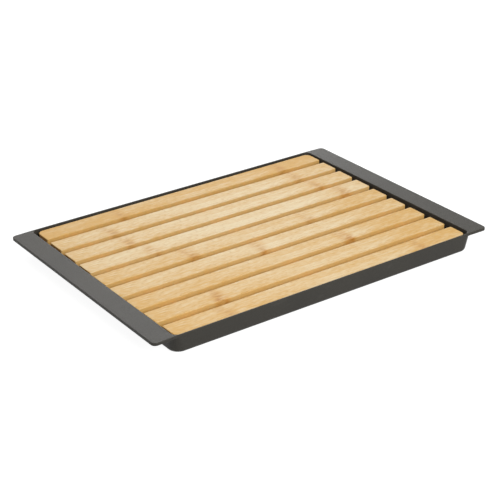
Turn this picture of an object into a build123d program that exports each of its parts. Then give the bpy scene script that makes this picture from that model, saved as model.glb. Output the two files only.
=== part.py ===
from build123d import *
import math
import os

# Bread board with crumb catcher: nine bamboo slats on three cross battens, lying loose in a
# shallow plastic tray whose short ends turn out into flat carrying flanges.
# Millimetres, +X along the slats, +Y to the back, +Z up, origin under the middle of the tray.

# Tray
TRAY_LENGTH = 422.0        # over both flanges
TRAY_WIDTH = 287.0         # over the long rims
TRAY_HEIGHT = 21.0
WALL = 1.6                 # moulded thickness of floor, walls and flanges
FLANGE_REACH = 23.6        # from the opening's end to the flange's outer edge
FLANGE_DROP = 0.4          # the flanges fall away outward by this much
FLANGE_LIP = 3.0           # height of the lip turned down along a flange's free edges
FLANGE_CORNER = 5.0        # plan radius at a flange's two outer corners
OPENING_CORNER = 6.0       # plan radius of the opening at rim height
FLOOR_CORNER = 10.4        # plan radius of the inside at floor height
BASE_CORNER = 13.0         # plan radius of the outside at table height
WALL_DRAFT = 3.0           # lean of the walls, degrees from upright
BASE_ROUND = 4.0           # outside round between walls and underside
RIM_EASE = 0.7             # small round on the rim and flange edges

# Slatted board
SLAT_COUNT = 9
SLAT_LENGTH = 368.2
SLAT_STAGGER = (2.5, 1.7, 0.9, 0.4, -0.8, -1.2, -1.2, -0.9, 0.0)   # uneven slat ends, back to front
SLAT_WIDTH = 24.0
SLAT_PITCH = 32.0
SLAT_THICKNESS = 9.5
SLAT_EASE = 0.8            # round on every long edge and end edge
SLAT_CORNER = 1.5          # plan radius at a plain slat corner
OUTER_CORNER = 7.0         # plan radius at the board's four own corners
BOARD_BELOW_RIM = 1.4      # slat tops lie this far under the rim
BOARD_SHIFT_X = -1.1       # the board lies loose, a little toward the left end
BOARD_SHIFT_Y = -0.9       # and a little toward the front wall
REST_GAP = 0.3             # seat clearance between battens and tray floor

# Cross battens under the slats
BATTEN_WIDTH = 20.0
BATTEN_LENGTH = 272.0
BATTEN_EASE = 1.0
BATTEN_STATIONS = (-150.0, 0.0, 150.0)   # from the board's own middle
BATTEN_NAMES = ("left", "middle", "right")

# Countersunk screws driven up through the battens, one under every slat
SCREW_SHANK = 3.0
SCREW_HEAD = 6.0
SCREW_LENGTH = 13.0
SCREW_POINT = 2.5
SCREW_SINK = 0.4           # head lies this far inside the batten's underside
SCREW_FIT = 0.05           # radial room around a screw in its hole
RECESS_WIDTH = 0.9         # arm of the cross recess in a screw head
RECESS_SPAN = 3.2
RECESS_DEPTH = 1.0

# Working allowances
CUT_PAST = 1.0             # a hollow or hole is cut this far past the face it opens
PICK_SLACK = 0.1           # edges are picked by their place to within this

# Levels and extents worked out from the sizes above
SLAT_TOP = TRAY_HEIGHT - BOARD_BELOW_RIM
SLAT_BOTTOM = SLAT_TOP - SLAT_THICKNESS
BATTEN_BOTTOM = WALL + REST_GAP
BATTEN_HEIGHT = SLAT_BOTTOM - BATTEN_BOTTOM
OPENING_LENGTH = TRAY_LENGTH - 2 * FLANGE_REACH
OPENING_WIDTH = TRAY_WIDTH - 2 * WALL
WALL_LEAN = math.tan(math.radians(WALL_DRAFT))
HEAD_DEPTH = (SCREW_HEAD - SCREW_SHANK) / 2


def tray_section(level, grow, corner):
    """Rounded rectangle of the tray's inner wall face at a level, grown outward."""
    spread = 2 * grow - 2 * (TRAY_HEIGHT - level) * WALL_LEAN
    length = OPENING_LENGTH + spread
    width = OPENING_WIDTH + spread
    return Pos(0, 0, level) * RectangleRounded(length, width, corner)


def tray_outside():
    """Walls and floor as one drafted block with a rounded foot and an upright band under the rim."""
    band = RectangleRounded(OPENING_LENGTH + 2 * WALL, TRAY_WIDTH, OPENING_CORNER + WALL)
    band_level = TRAY_HEIGHT - FLANGE_LIP
    foot = tray_section(0, WALL + FLANGE_LIP * WALL_LEAN, BASE_CORNER)
    block = loft([foot, Pos(0, 0, band_level) * band], ruled=True)
    foot_edges = block.edges().group_by(Axis.Z)[0]
    return fillet(foot_edges, BASE_ROUND) + Pos(0, 0, band_level) * extrude(band, FLANGE_LIP)


def tray_hollow():
    """The space that holds the board and the crumbs, open at the top."""
    top = tray_section(TRAY_HEIGHT + CUT_PAST, 0, OPENING_CORNER)
    floor = tray_section(WALL, 0, FLOOR_CORNER)
    hollow = loft([floor, top], ruled=True)
    floor_edges = hollow.edges().group_by(Axis.Z)[0]
    return fillet(floor_edges, BASE_ROUND - WALL)


def rim_prism(inset):
    """Upright block over the whole plan of the rim, drawn in from its free edges."""
    outline = RectangleRounded(TRAY_LENGTH - 2 * inset, TRAY_WIDTH - 2 * inset, FLANGE_CORNER - inset)
    return extrude(outline, 2 * TRAY_HEIGHT)


def rim_slab(upper, lower):
    """Layer between two depths below the rim, level over the opening and falling away along the flanges."""
    bend = OPENING_LENGTH / 2 + WALL
    outer = TRAY_LENGTH / 2
    top = TRAY_HEIGHT - upper
    bottom = TRAY_HEIGHT - lower
    side = Polyline(
        (bend, top),
        (outer, top - FLANGE_DROP),
        (outer, bottom - FLANGE_DROP),
        (bend, bottom),
        (-bend, bottom),
        (-outer, bottom - FLANGE_DROP),
        (-outer, top - FLANGE_DROP),
        (-bend, top),
        (bend, top),
    )
    return extrude(Plane.XZ * make_face(side), TRAY_WIDTH / 2, both=True)


def rim_and_flanges():
    """Rim and both end flanges, with a lip turned down along their free edges."""
    full = rim_slab(0, FLANGE_LIP) & rim_prism(0)
    pocket = rim_slab(WALL, FLANGE_LIP + WALL) & rim_prism(WALL)
    return full - pocket


def on_rim(edge):
    """True for the upper edges that a hand or the board meets."""
    middle = edge.center()
    from_bend = abs(abs(middle.X) - OPENING_LENGTH / 2 - WALL)
    return middle.Z > TRAY_HEIGHT - FLANGE_DROP - PICK_SLACK and from_bend > PICK_SLACK


def build_tray():
    shell = tray_outside() + rim_and_flanges()
    shell = shell - tray_hollow()
    rim_edges = shell.edges().filter_by(on_rim)
    return fillet(rim_edges, RIM_EASE)


def screw_stations():
    """Centre line of each slat, back to front."""
    middle = (SLAT_COUNT - 1) / 2
    return [BOARD_SHIFT_Y + (middle - i) * SLAT_PITCH for i in range(SLAT_COUNT)]


def slat_outline(index):
    """Plan of a slat; the first and last carry the board's rounded corners."""
    plain = RectangleRounded(SLAT_LENGTH, SLAT_WIDTH, SLAT_CORNER)
    if index not in (0, SLAT_COUNT - 1):
        return plain
    side = 1 if index == 0 else -1
    reach = SLAT_LENGTH + SLAT_WIDTH
    shaped = Pos(0, -side * SLAT_WIDTH / 2, 0) * RectangleRounded(SLAT_LENGTH, 2 * SLAT_WIDTH, OUTER_CORNER)
    half = Pos(0, side * SLAT_WIDTH / 2, 0) * Rectangle(reach, SLAT_WIDTH)
    far_half = shaped & half
    near_half = plain - half
    return far_half + near_half


def screw_solid(grow):
    """One countersunk screw standing point up from the batten's underside."""
    head_level = BATTEN_BOTTOM + SCREW_SINK
    shank = SCREW_SHANK / 2 + grow
    head = SCREW_HEAD / 2 + grow
    tip_level = head_level + SCREW_LENGTH + grow
    profile = Polyline(
        (0, head_level),
        (head, head_level),
        (shank, head_level + HEAD_DEPTH),
        (shank, tip_level - SCREW_POINT),
        (0, tip_level),
        (0, head_level),
    )
    return revolve(Plane.XZ * make_face(profile), Axis.Z)


def screw_hole():
    """Room for one screw, open through the batten's underside."""
    head_level = BATTEN_BOTTOM + SCREW_SINK
    mouth = Pos(0, 0, head_level) * Cylinder(
        SCREW_HEAD / 2 + SCREW_FIT, SCREW_SINK + CUT_PAST, align=(Align.CENTER, Align.CENTER, Align.MAX)
    )
    return screw_solid(SCREW_FIT) + mouth


def cross_recess():
    """Cross-shaped recess pressed into a screw head from below."""
    head_level = BATTEN_BOTTOM + SCREW_SINK
    arm = Box(RECESS_SPAN, RECESS_WIDTH, 2 * RECESS_DEPTH)
    return Pos(0, 0, head_level) * (arm + Rot(0, 0, 90) * arm)


def build_slat(index, hole):
    outline = slat_outline(index)
    slat = Pos(0, 0, SLAT_BOTTOM) * extrude(outline, SLAT_THICKNESS)
    flat_edges = slat.edges().group_by(Axis.Z)
    slat = fillet(flat_edges[0] + flat_edges[-1], SLAT_EASE)
    slat = Pos(BOARD_SHIFT_X + SLAT_STAGGER[index], screw_stations()[index], 0) * slat
    for x in BATTEN_STATIONS:
        slat = slat - Pos(BOARD_SHIFT_X + x, screw_stations()[index], 0) * hole
    return slat


def build_batten(x, hole):
    batten = Pos(BOARD_SHIFT_X + x, BOARD_SHIFT_Y, BATTEN_BOTTOM + BATTEN_HEIGHT / 2) * Box(
        BATTEN_WIDTH, BATTEN_LENGTH, BATTEN_HEIGHT
    )
    lower_edges = batten.edges().group_by(Axis.Z)[0]
    batten = chamfer(lower_edges, BATTEN_EASE)
    for y in screw_stations():
        batten = batten - Pos(BOARD_SHIFT_X + x, y, 0) * hole
    return batten


def build_screws(x):
    screw = screw_solid(0) - cross_recess()
    return Compound([Pos(BOARD_SHIFT_X + x, y, 0) * screw for y in screw_stations()])


def build_all():
    hole = screw_hole()
    nodes = {"tray": build_tray()}
    for i in range(SLAT_COUNT):
        nodes[f"slat_{i + 1}"] = build_slat(i, hole)
    for name, x in zip(BATTEN_NAMES, BATTEN_STATIONS):
        nodes[f"{name}_batten"] = build_batten(x, hole)
        nodes[f"{name}_batten_screws"] = build_screws(x)
    return nodes


os.makedirs("parts", exist_ok=True)
for name, shape in build_all().items():
    export_step(shape, f"parts/{name}.step")
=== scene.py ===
import math

import bmesh
import bpy
from mathutils import Matrix, Vector

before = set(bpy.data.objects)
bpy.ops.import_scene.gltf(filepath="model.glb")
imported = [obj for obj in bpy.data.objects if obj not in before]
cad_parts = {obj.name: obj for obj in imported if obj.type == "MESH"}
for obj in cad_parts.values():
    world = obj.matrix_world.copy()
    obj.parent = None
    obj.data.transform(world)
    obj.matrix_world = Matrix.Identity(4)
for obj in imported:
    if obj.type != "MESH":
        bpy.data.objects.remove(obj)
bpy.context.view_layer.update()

# Bread board with crumb catcher: bamboo slats on cross battens, loose in a moulded plastic tray.
# Places in the frame, in millimetres
SLAT_PITCH = 32.0
SLAT_TOP = 19.6
MIDDLE_SLAT = 4            # counted from 0 at the back
BOARD_X = -1.1
BOARD_Y = -0.9
BATTEN_X = {"left_batten": -151.1, "middle_batten": -1.1, "right_batten": 148.9}
BATTEN_MIDDLE = 6.0

# Each slat's character, back to front: how pale it is (0 honey, 1 cream), and where growth nodes
# cross it, as (place along the slat, strength, slant)
SLATS = (
    (0.07, ((-88, 0.50, 0.05), (133, 0.90, -0.10))),
    (0.55, ((-117, 0.55, 0.10), (132, 0.65, -0.10))),
    (0.55, ((-115, 0.60, -0.05), (137, 0.65, 0.05))),
    (0.72, ((-106, 0.50, 0.10), (151, 0.80, -0.10))),
    (0.38, ((-79, 0.65, 0.10), (74, 0.40, -0.05))),
    (0.50, ((-11, 0.60, -0.10),)),
    (0.32, ((77, 1.00, 0.10),)),
    (0.34, ((-108, 1.00, -0.10),)),
    (0.30, ((-120, 0.50, 0.10), (126, 0.50, -0.05))),
)
BATTEN_PALE = 0.1
BATTEN_GROWTH_NODES = ((60, 0.5, 0.1),)

# Marks in the bamboo, as (length along the fibres, width across them) in millimetres
FIBRES = (40, 3.0)         # 0.4 mm apart in the real strip, drawn 3 mm apart so that they show
PORES = (9, 2.4)           # 0.2 mm wide in the real strip, drawn coarser
BUNDLE_ENDS = (5, 1.4)     # short and dark, 0.3 by 4 mm in the real strip, drawn coarser
STREAKS = (220, 7.0)       # streaks of tone that run most of the slat's length
CLOUDS = (60, 22)          # slow change of tone along the strip
MOTTLE = (10, 3.2)         # blotches inside a growth node
END_DOTS = 0.9             # spacing of the cut fibres that show on an end
SLAT_EDGE = 11.0           # from a slat's middle line to just inside its long edge
SLAT_REACH = 184.0         # from a slat's middle to its end
SLAT_MIDDLE_END = 20.0     # the palest part of a slat reaches this far from its middle

# A growth node, in millimetres along the slat from the node's own line
NODE_SWAY = 2.0            # the line wanders this far either way
NODE_SWAY_SCALE = 0.06     # with about one bend in 17 mm
NODE_HAZE = (1.0, 12.0)    # the soft patch fades out between these
NODE_CORE = (0.5, 6.0)     # the darker core fades out between these
NODE_PALE_AT = 17.0        # the wood is a little paler round this place past the node
NODE_PALE = (2.0, 14.0)    # and the paleness fades out between these, to each side of it

# Marks on the tray and the screws, in millimetres
SPARK_GRAIN = 0.9          # 0.1 mm across in the real mould, drawn coarser
FLOW_CLOUDS = 70
SCUFF_LENGTH = 25
SCUFF_WIDTH = 0.5
SCUFF_TURNS = (0.35, -0.9)             # radians
ZINC_SPANGLE = 0.8

# A noise pattern's middle value, and the range that nearly all of it lies in
NOISE_MIDDLE = 0.5
NOISE_RANGE = (0.3, 0.7)
# A mark goes from nothing to full while the noise goes from the first value to the second
BUNDLE_END_NOISE = (0.58, 0.74)
MOTTLE_NOISE = (0.36, 0.64)
SCUFF_NOISE = (0.70, 0.82)
SPECK_NOISE = (0.35, 0.65)
END_DOT_CELL = (0.1, 0.45)             # from a dot's middle to the wood between dots

# How far each of these moves the bamboo's tone between honey and cream
FIBRE_TONE = 1.00
PORE_TONE = 1.10
STREAK_TONE = 0.45
CLOUD_TONE = 1.05
SLAT_MIDDLE_TONE = 0.16
SLAT_END_TONE = -0.20

# How strongly a mark or a tint covers what is under it
BUNDLE_END_TINT = 0.30
# The sides' tint is partly their side grain and partly painted shade and warm bounce light in the
# grooves
SIDE_AND_SHADE_TINT = 0.75
MOTTLE_LEAST = 0.30        # a growth node's strength between its blotches
NODE_AT_BACK = 0.50        # and at the slat's back edge
NODE_AT_FRONT = 1.25       # and at its front edge
NODE_HAZE_TINT = 0.85
NODE_CORE_TINT = 0.42
NODE_PALE_SHARE = 0.15     # the paler wood's strength, as a part of the node's
SPECK_TINT = 0.40
SCUFF_WEAR = 0.22
RIM_WEAR = 0.12

# A face counts as a top, or as an end, more and more while its normal's part that way goes from the
# first value to the second
TOP_FACING = (0.25, 0.8)
END_FACING = (0.75, 0.97)
RIM_FACING = (0.08, 0.24)  # up times what is left of 1, which is 0.25 halfway round the rim

# Roughness at the low and the high end of the pattern that changes it
BAMBOO_ROUGH = (0.68, 0.56)
TRAY_ROUGH = (0.46, 0.58)
STEEL_ROUGH = (0.28, 0.45)
END_GRAIN_ROUGHER = 0.2
WORN_ROUGHER = -0.25

# Relief: strength, and depth in metres
BAMBOO_RELIEF = (0.35, 0.00008)
TRAY_RELIEF = (0.8, 0.00010)
STEEL_RELIEF = (0.3, 0.00004)
BUNDLE_END_RELIEF = -0.5   # bundle ends lie below the fibres, by this part of the fibres' own relief

# Colours
HONEY = "#dfaf5e"
CREAM = "#f4deb3"
BUNDLE_END_BROWN = "#b88644"
# The sides' colour: partly side grain, partly painted groove shade and warm bounce light
SIDE_BROWN_AND_SHADE = "#e2b76d"
NODE_HAZE_BROWN = "#cf9442"
NODE_CORE_BROWN = "#ab6f24"
END_GRAIN = "#e2a65f"
END_DOT_BROWN = "#b98046"
TRAY_GREY = "#3f3d38"
TRAY_GREY_PALER = "#46433d"
TRAY_SPECK = "#2e2c29"
TRAY_WORN = "#5a5853"
ZINC_GREY = "#a9adb1"
ZINC_STRAW = "#c9c4b2"
WHITE = (1.0, 1.0, 1.0, 1.0)

# Camera, fitted to the photograph's outline: degrees and metres, with lens and sensor in millimetres
CAMERA_AZIMUTH = -35.210
CAMERA_ELEVATION = 26.130
CAMERA_ROLL = -0.700
CAMERA_DISTANCE = 1.49462
CAMERA_AIM = Vector((-0.01281, -0.01841, 0.010))
CAMERA_LENS = 101.37
CAMERA_SENSOR = 36.0
CAMERA_NEAR = 0.05
CAMERA_FAR = 50.0

# Studio: metres, and watts for the lamps
FLOOR_REACH = 4.0          # from the floor's middle to each of its sides
FLOOR_LEVEL = -0.0003      # just under the tray's foot
FLOOR_TONE = 0.28
FLOOR_GLOW = 0.93
WORLD_LIGHT = 0.25
LAMPS = (
    # Name, place, the point it faces, size, power
    ("front_soft_box", (-0.12, -1.25, 0.90), (0, 0, 0), 1.0, 16.0),
    ("back_soft_box", (0.45, 1.35, 1.45), (0, 0, 0), 0.9, 12.5),
    ("sheen_soft_box", (1.38, 2.02, 0.70), (0.1, 0.1, 0), 0.6, 8.4),
)


def colour(code):
    """A colour written as sRGB hex, turned to linear."""
    parts = [int(code[i:i + 2], 16) / 255 for i in (1, 3, 5)]
    return [c / 12.92 if c <= 0.04045 else ((c + 0.055) / 1.055) ** 2.4 for c in parts] + [1.0]


def add(tree, kind, sockets, **settings):
    """Adds a node with its settings, and gives each named socket its value or its link."""
    node = tree.nodes.new(kind)
    for name, value in settings.items():
        setattr(node, name, value)
    for name, value in sockets.items():
        if isinstance(value, bpy.types.NodeSocket):
            tree.links.new(value, node.inputs[name])
        else:
            node.inputs[name].default_value = value
    return node


def maths(tree, operation, *values, use_clamp=False):
    """The result of one sum on up to three values or links."""
    sockets = dict(enumerate(values))
    return add(tree, "ShaderNodeMath", sockets, operation=operation, use_clamp=use_clamp).outputs[0]


def remap(tree, value, span, at_start=0.0, at_stop=1.0, style="LINEAR"):
    """Goes from at_start to at_stop while the value goes over the span, and stays level beyond it."""
    sockets = {0: value, 1: span[0], 2: span[1], 3: at_start, 4: at_stop}
    return add(tree, "ShaderNodeMapRange", sockets, interpolation_type=style).outputs[0]


def mix(tree, amount, first, second):
    """A blend of two colours, from the first at 0 to the second at 1."""
    sockets = {0: amount, 6: first, 7: second}
    return add(tree, "ShaderNodeMix", sockets, data_type="RGBA").outputs[2]


def mapping(tree, vector, turn, scale):
    """A vector scaled along each axis, then turned about Z."""
    sockets = {"Vector": vector, "Rotation": (0, 0, turn), "Scale": scale}
    return add(tree, "ShaderNodeMapping", sockets).outputs[0]


def millimetres(tree, metres, turn=0.0):
    """A place in metres turned to millimetres, and turned about Z."""
    return mapping(tree, metres, turn, (1000, 1000, 1000))


def axes(tree, vector):
    """A vector's parts along X, Y and Z."""
    return add(tree, "ShaderNodeSeparateXYZ", {0: vector}).outputs


def noise(tree, place, scale, detail, roughness=0.5):
    """A cloudy pattern between 0 and 1."""
    sockets = {"Vector": place, "Scale": scale, "Detail": detail, "Roughness": roughness}
    return add(tree, "ShaderNodeTexNoise", sockets).outputs[0]


def drawn_out(tree, place, size, detail, roughness=0.5):
    """A cloudy pattern with marks of the given length along X and width across it."""
    length, width = size
    stretched = mapping(tree, place, 0.0, (1 / length, 1 / width, 1 / width))
    return noise(tree, stretched, 1.0, detail, roughness)


def surface(name, **finish):
    """A new material with one shader, and its node tree."""
    material = bpy.data.materials.new(name)
    material.use_nodes = True
    tree = material.node_tree
    shader = tree.nodes["Principled BSDF"]
    for socket, value in finish.items():
        shader.inputs[socket.replace("_", " ")].default_value = value
    return material, tree, shader


def dress(tree, shader, face, rough, height, relief):
    """Gives a shader its colour, its roughness and its fine relief."""
    strength, depth = relief
    tree.links.new(face, shader.inputs["Base Color"])
    tree.links.new(rough, shader.inputs["Roughness"])
    bump = add(tree, "ShaderNodeBump", {"Height": height, "Strength": strength, "Distance": depth})
    tree.links.new(bump.outputs[0], shader.inputs["Normal"])


def growth_marks(tree, local, along, across, growth_nodes):
    """How strongly growth nodes show at each place: their soft patch about 20 mm long, their short
    darker core, and the slightly paler wood just past them."""
    wander = noise(tree, local, NODE_SWAY_SCALE, detail=1.0)
    sway = remap(tree, wander, NOISE_RANGE, -NODE_SWAY, NODE_SWAY)
    haze, core, bleach = 0.0, 0.0, 0.0
    for station, strength, slant in growth_nodes:
        lean = maths(tree, "MULTIPLY_ADD", across, slant, along)
        bent = maths(tree, "ADD", lean, sway)
        off = maths(tree, "SUBTRACT", bent, station)
        far = maths(tree, "ABSOLUTE", off)
        wide = remap(tree, far, NODE_HAZE, strength, 0.0, "SMOOTHSTEP")
        tight = remap(tree, far, NODE_CORE, strength, 0.0, "SMOOTHSTEP")
        past = maths(tree, "SUBTRACT", off, NODE_PALE_AT)
        past = maths(tree, "ABSOLUTE", past)
        past = remap(tree, past, NODE_PALE, strength * NODE_PALE_SHARE, 0.0, "SMOOTHSTEP")
        haze = maths(tree, "MAXIMUM", wide, haze)
        core = maths(tree, "MAXIMUM", tight, core)
        bleach = maths(tree, "MAXIMUM", past, bleach)
    return haze, core, bleach


def strip_tone(tree, local, along, pale, bleach, fibre):
    """How pale the strip is at each place, from 0 honey to 1 cream. A slat's middle is the palest."""
    reach = maths(tree, "ABSOLUTE", along)
    tone = remap(tree, reach, (SLAT_MIDDLE_END, SLAT_REACH), SLAT_MIDDLE_TONE, SLAT_END_TONE)
    tone = maths(tree, "ADD", tone, pale)
    tone = maths(tree, "ADD", tone, bleach)
    patterns = (
        (fibre, FIBRE_TONE),
        (drawn_out(tree, local, PORES, detail=2.0), PORE_TONE),
        (drawn_out(tree, local, STREAKS, detail=1.5), STREAK_TONE),
        (drawn_out(tree, local, CLOUDS, detail=2.0), CLOUD_TONE),
    )
    for pattern, amount in patterns:
        part = maths(tree, "SUBTRACT", pattern, NOISE_MIDDLE)
        tone = maths(tree, "MULTIPLY_ADD", part, amount, tone, use_clamp=True)
    return tone


def growth_stain(tree, face, patch, spots, edge, amount, tint):
    """A face's colour with one part of its growth nodes laid over it."""
    stain = maths(tree, "MULTIPLY", patch, spots)
    stain = maths(tree, "MULTIPLY", stain, edge)
    stain = maths(tree, "MULTIPLY", stain, amount, use_clamp=True)
    return mix(tree, stain, face, colour(tint))


def end_grain(tree, local):
    """The colour of an end, with its cut fibres as brown dots."""
    sockets = {"Vector": local, "Scale": 1 / END_DOTS, "Randomness": 0.8}
    cells = add(tree, "ShaderNodeTexVoronoi", sockets).outputs[0]
    dots = remap(tree, cells, END_DOT_CELL, 1.0, 0.0)
    return mix(tree, dots, colour(END_GRAIN), colour(END_DOT_BROWN))


def bamboo(name, centre, turn, pale, growth_nodes):
    """Flat-pressed bamboo, planed and lightly oiled: long straight fibres, broad cream and honey
    streaks, short dark bundle ends, mottled brown growth nodes, and darker dotted end grain. A satin
    eye, not a shine."""
    material, tree, shader = surface(name, IOR=1.46)
    where = add(tree, "ShaderNodeTexCoord", {}).outputs
    # Millimetres from the piece's own middle, with its fibres along X
    sockets = {0: where["Object"], 1: Vector(centre) / 1000}
    moved = add(tree, "ShaderNodeVectorMath", sockets, operation="SUBTRACT").outputs[0]
    local = millimetres(tree, moved, turn)
    place = axes(tree, local)
    along, across = place[0], place[1]
    facing = axes(tree, mapping(tree, where["Normal"], turn, (1, 1, 1)))
    upward = maths(tree, "ABSOLUTE", facing[2])
    endward = maths(tree, "ABSOLUTE", facing[0])

    haze, core, bleach = growth_marks(tree, local, along, across, growth_nodes)
    fibre = drawn_out(tree, local, FIBRES, detail=4.0, roughness=0.7)
    tone = strip_tone(tree, local, along, pale, bleach, fibre)
    face = mix(tree, tone, colour(HONEY), colour(CREAM))
    bundle_end = remap(tree, drawn_out(tree, local, BUNDLE_ENDS, detail=1.0), BUNDLE_END_NOISE)
    dark = maths(tree, "MULTIPLY", bundle_end, BUNDLE_END_TINT)
    face = mix(tree, dark, face, colour(BUNDLE_END_BROWN))

    # Sides are a shade deeper and warmer than the planed top: partly their own side grain, partly
    # painted shade and warm bounce light from the narrow grooves between slats
    side_and_shade = remap(tree, upward, TOP_FACING, SIDE_AND_SHADE_TINT, 0.0)
    face = mix(tree, side_and_shade, face, colour(SIDE_BROWN_AND_SHADE))

    # Growth nodes are mottled, and strongest toward the slat's front edge
    mottle = drawn_out(tree, local, MOTTLE, detail=1.0)
    mottle = remap(tree, mottle, MOTTLE_NOISE, MOTTLE_LEAST, 1.0)
    blotch = maths(tree, "POWER", mottle, 2.0)
    edge = remap(tree, across, (SLAT_EDGE, -SLAT_EDGE), NODE_AT_BACK, NODE_AT_FRONT)
    face = growth_stain(tree, face, haze, mottle, edge, NODE_HAZE_TINT, NODE_HAZE_BROWN)
    face = growth_stain(tree, face, core, blotch, edge, NODE_CORE_TINT, NODE_CORE_BROWN)

    end = remap(tree, endward, END_FACING)
    face = mix(tree, end, face, end_grain(tree, local))

    # Handling polishes the pale streaks a little more than the fibres between them
    rough = remap(tree, fibre, NOISE_RANGE, *BAMBOO_ROUGH)
    rough = maths(tree, "MULTIPLY_ADD", end, END_GRAIN_ROUGHER, rough)
    height = maths(tree, "MULTIPLY_ADD", bundle_end, BUNDLE_END_RELIEF, fibre)
    dress(tree, shader, face, rough, height, BAMBOO_RELIEF)
    return material


def tray_plastic():
    """Injection-moulded ABS with a fine spark-eroded matt: soft, even, warm dark grey. Rubbed paler on
    the rounded rims, with faint hair scuffs where it slides on a worktop and where the board is lifted
    out."""
    material, tree, shader = surface("moulded_matt_ABS", IOR=1.53, Specular_IOR_Level=0.20)
    where = add(tree, "ShaderNodeTexCoord", {}).outputs
    local = millimetres(tree, where["Object"])
    grain = noise(tree, local, 1 / SPARK_GRAIN, detail=3.0, roughness=0.7)
    cloud = noise(tree, local, 1 / FLOW_CLOUDS, detail=2.0)
    scuffs = 0.0
    for turn in SCUFF_TURNS:
        lines = mapping(tree, local, turn, (1 / SCUFF_LENGTH, 1 / SCUFF_WIDTH, 1 / SCUFF_LENGTH))
        hair = remap(tree, noise(tree, lines, 1.0, detail=1.0), SCUFF_NOISE)
        scuffs = maths(tree, "MAXIMUM", hair, scuffs)
    # A rounded rim's normal lies between up and sideways
    upward = axes(tree, where["Normal"])[2]
    rim = maths(tree, "SUBTRACT", 1.0, upward)
    rim = maths(tree, "MULTIPLY", rim, upward)
    rim = remap(tree, rim, RIM_FACING, 0.0, RIM_WEAR, "SMOOTHSTEP")
    worn = maths(tree, "MULTIPLY_ADD", scuffs, SCUFF_WEAR, rim, use_clamp=True)

    face = mix(tree, remap(tree, cloud, NOISE_RANGE), colour(TRAY_GREY), colour(TRAY_GREY_PALER))
    speck = remap(tree, grain, SPECK_NOISE, 0.0, SPECK_TINT)
    face = mix(tree, speck, face, colour(TRAY_SPECK))
    face = mix(tree, worn, face, colour(TRAY_WORN))
    rough = remap(tree, grain, NOISE_RANGE, *TRAY_ROUGH)
    rough = maths(tree, "MULTIPLY_ADD", worn, WORN_ROUGHER, rough)
    dress(tree, shader, face, rough, grain, TRAY_RELIEF)
    return material


def screw_steel():
    """Zinc-plated steel, cold headed: cool grey with a faint straw cast in the plating and a fine
    frosted glint."""
    material, tree, shader = surface("zinc_plated_steel", Metallic=1.0)
    where = add(tree, "ShaderNodeTexCoord", {}).outputs
    local = millimetres(tree, where["Object"])
    spangle = noise(tree, local, 1 / ZINC_SPANGLE, detail=3.0)
    face = mix(tree, spangle, colour(ZINC_GREY), colour(ZINC_STRAW))
    rough = remap(tree, spangle, NOISE_RANGE, *STEEL_ROUGH)
    dress(tree, shader, face, rough, spangle, STEEL_RELIEF)
    return material


def finish_node(name, material):
    """Gives a carried-over piece its material."""
    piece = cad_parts[name]
    piece.data.materials.clear()
    piece.data.materials.append(material)


def finish_pieces():
    finish_node("tray", tray_plastic())
    for i, (pale, growth_nodes) in enumerate(SLATS):
        name = f"slat_{i + 1}"
        centre = (BOARD_X, BOARD_Y + (MIDDLE_SLAT - i) * SLAT_PITCH, SLAT_TOP)
        finish_node(name, bamboo(f"planed_bamboo_{name}", centre, 0.0, pale, growth_nodes))
    steel = screw_steel()
    for name, x in BATTEN_X.items():
        centre = (x, BOARD_Y, BATTEN_MIDDLE)
        crossing = bamboo(f"planed_bamboo_{name}", centre, math.pi / 2, BATTEN_PALE, BATTEN_GROWTH_NODES)
        finish_node(name, crossing)
        finish_node(f"{name}_screws", steel)


def white_to_the_camera(tree):
    """1 for rays from the camera, a reflection or a clear piece, 0 for the rays that carry light."""
    path = add(tree, "ShaderNodeLightPath", {}).outputs
    seen = maths(tree, "MAXIMUM", path["Is Camera Ray"], path["Is Glossy Ray"])
    return maths(tree, "MAXIMUM", seen, path["Is Transmission Ray"])


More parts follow.
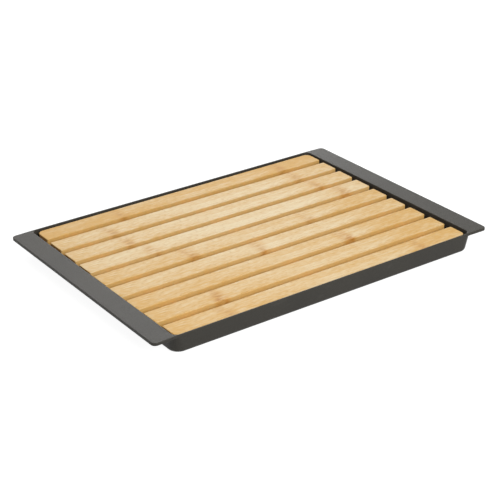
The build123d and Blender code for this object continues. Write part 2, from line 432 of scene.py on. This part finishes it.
def build_floor():
    """A wide white floor that keeps a soft shadow round the tray's foot."""
    mesh = bmesh.new()
    level = Matrix.Translation((0, 0, FLOOR_LEVEL))
    bmesh.ops.create_grid(mesh, x_segments=1, y_segments=1, size=FLOOR_REACH, matrix=level)
    data = bpy.data.meshes.new("floor")
    mesh.to_mesh(data)
    mesh.free()
    floor = bpy.data.objects.new("floor", data)
    bpy.context.scene.collection.objects.link(floor)
    tone = (FLOOR_TONE, FLOOR_TONE, FLOOR_TONE, 1.0)
    material, tree, shader = surface("white_floor", Roughness=0.9, Base_Color=tone,
                                     Specular_IOR_Level=0.0, Emission_Color=WHITE)
    glow = maths(tree, "MULTIPLY", white_to_the_camera(tree), FLOOR_GLOW)
    tree.links.new(glow, shader.inputs["Emission Strength"])
    data.materials.append(material)


def build_world():
    """Even studio light from all round, in front of a white background."""
    world = bpy.data.worlds.new("studio")
    bpy.context.scene.world = world
    world.use_nodes = True
    tree = world.node_tree
    back = tree.nodes["Background"]
    back.inputs["Color"].default_value = WHITE
    level = remap(tree, white_to_the_camera(tree), (0.0, 1.0), WORLD_LIGHT, 1.0)
    tree.links.new(level, back.inputs["Strength"])


def build_lamp(name, place, aim, size, power):
    """A square soft box that faces a point."""
    data = bpy.data.lights.new(name, "AREA")
    data.shape = "SQUARE"
    data.size = size
    data.energy = power
    lamp = bpy.data.objects.new(name, data)
    lamp.location = place
    lamp.rotation_mode = "QUATERNION"
    lamp.rotation_quaternion = (Vector(aim) - Vector(place)).to_track_quat("-Z", "Y")
    bpy.context.scene.collection.objects.link(lamp)


def build_camera():
    azimuth = math.radians(CAMERA_AZIMUTH)
    elevation = math.radians(CAMERA_ELEVATION)
    roll = math.radians(CAMERA_ROLL)
    level = math.cos(elevation)
    back = Vector((math.sin(azimuth) * level, -math.cos(azimuth) * level, math.sin(elevation)))
    right = Vector((math.cos(azimuth), math.sin(azimuth), 0.0))
    up = back.cross(right)
    turned_right = math.cos(roll) * right + math.sin(roll) * up
    turned_up = math.cos(roll) * up - math.sin(roll) * right
    data = bpy.data.cameras.new("camera")
    data.sensor_width = CAMERA_SENSOR
    data.lens = CAMERA_LENS
    data.clip_start = CAMERA_NEAR
    data.clip_end = CAMERA_FAR
    camera = bpy.data.objects.new("camera", data)
    turn = Matrix((turned_right, turned_up, back)).transposed().to_4x4()
    camera.matrix_world = Matrix.Translation(CAMERA_AIM + back * CAMERA_DISTANCE) @ turn
    bpy.context.scene.collection.objects.link(camera)
    bpy.context.scene.camera = camera


bpy.context.scene.view_settings.view_transform = "Standard"
finish_pieces()
build_floor()
build_world()
for lamp_values in LAMPS:
    build_lamp(*lamp_values)
build_camera()
